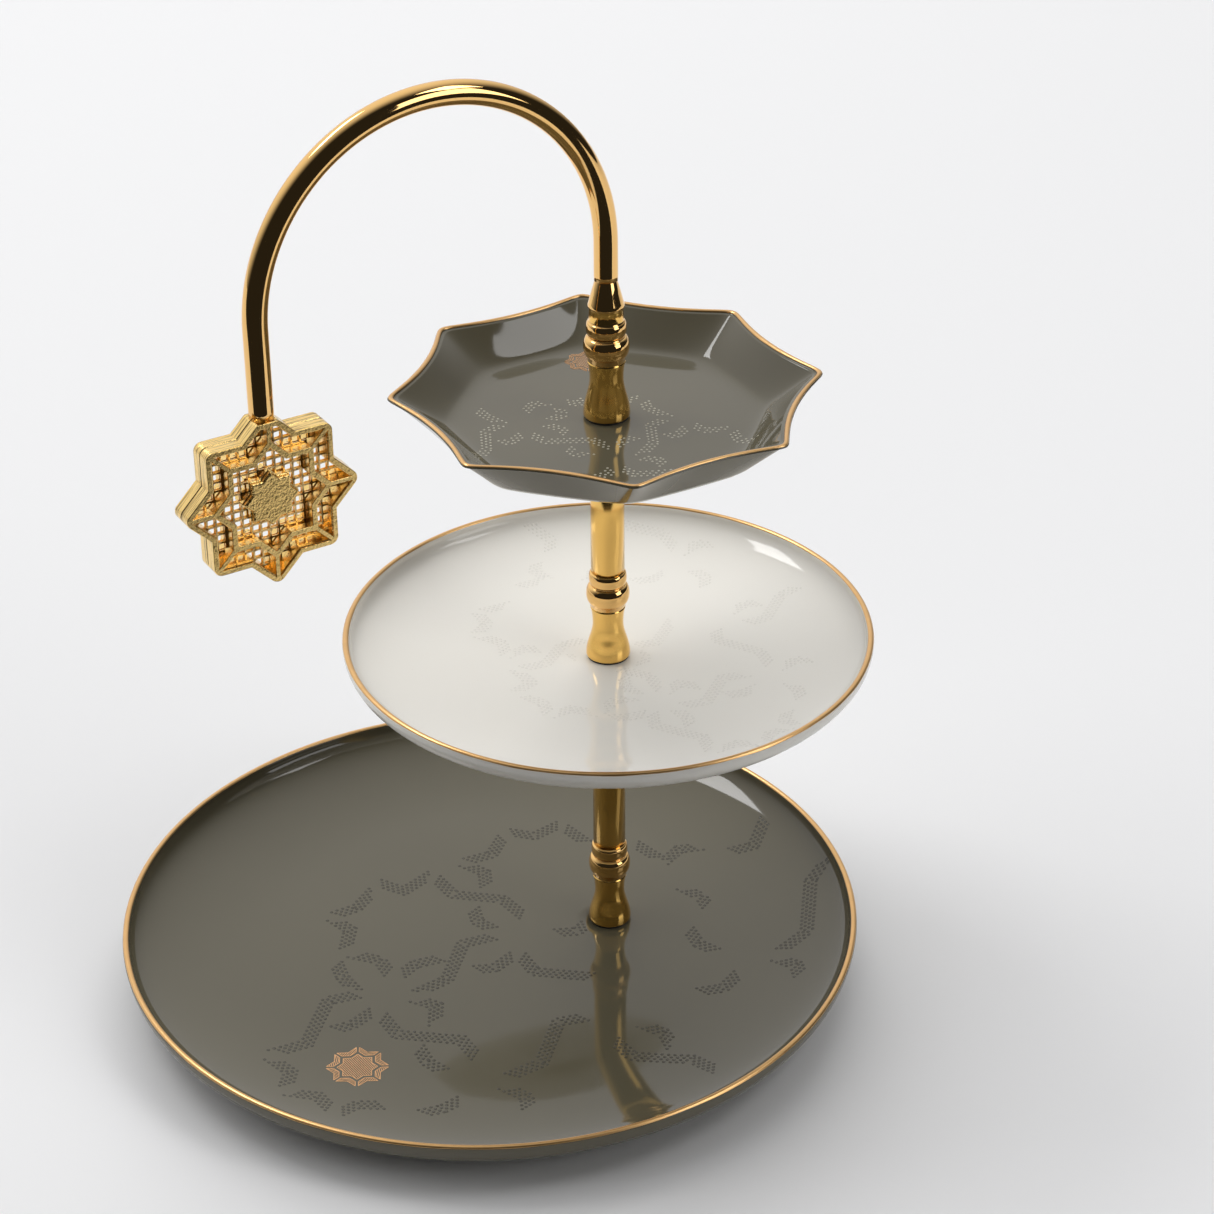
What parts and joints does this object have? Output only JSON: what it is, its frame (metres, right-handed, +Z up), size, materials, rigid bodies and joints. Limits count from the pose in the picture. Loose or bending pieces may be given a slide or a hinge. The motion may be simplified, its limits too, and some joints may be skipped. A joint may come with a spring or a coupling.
{
  "type": "tiered cake stand",
  "caption": "Three-tier cake stand: round coupe plates and a star plate on a turned gold column, with a swan-neck handle ending in a pierced star.",
  "frame": {"origin": "centre of the bottom plate's foot ring, on the table", "axes": "+Z up along the column; +X from the bottom plate's centre towards the column; the handle arches back over the plate's centre"},
  "size_m": [0.336, 0.33, 0.4265],
  "materials": {
    "olive_glaze": "glossy olive-grey glaze",
    "ivory_glaze": "glossy ivory glaze",
    "gold": "gold plated, satin turned with polished beads",
    "satin_gold": "gold plated, satin",
    "polished_gold": "gold plated, polished",
    "brushed_gold": "gold plated, cast and brushed",
    "brass": "turned, plain",
    "steel": "zinc plated",
    "rubber": "matt black"
  },
  "bodies": {
    "stand": {"bottom_plate": "olive_glaze", "base_screw": "steel", "base_washer": "steel", "base_pad": "rubber", "lower_gasket": "rubber", "lower_foot": "gold", "lower_tube": "satin_gold", "lower_insert": "brass", "lower_stud": "steel", "middle_washer": "rubber", "middle_gasket": "rubber", "middle_foot": "gold", "middle_tube": "satin_gold", "middle_insert": "brass", "upper_stud": "steel", "top_washer": "rubber"},
    "middle_tier": {"middle_plate": "ivory_glaze"},
    "top_tier": {"top_plate": "olive_glaze"},
    "handle": {"top_gasket": "rubber", "handle_ferrule": "gold", "handle_tube": "polished_gold", "star_spigot": "brass", "star_front": "brushed_gold", "star_back": "brushed_gold"}
  },
  "joints": [
    {"name": "middle_plate_turn", "type": "hinge", "parent": "stand", "child": "middle_tier", "pos_m": [0.056, 0, 0.1493], "axis": [0, 0, 1], "continuous": true},
    {"name": "top_plate_turn", "type": "hinge", "parent": "stand", "child": "top_tier", "pos_m": [0.056, 0, 0.2655], "axis": [0, 0, 1], "continuous": true},
    {"name": "handle_turn", "type": "hinge", "parent": "stand", "child": "handle", "pos_m": [0.056, 0, 0.2663], "axis": [0, 0, 1], "continuous": true}
  ]
}
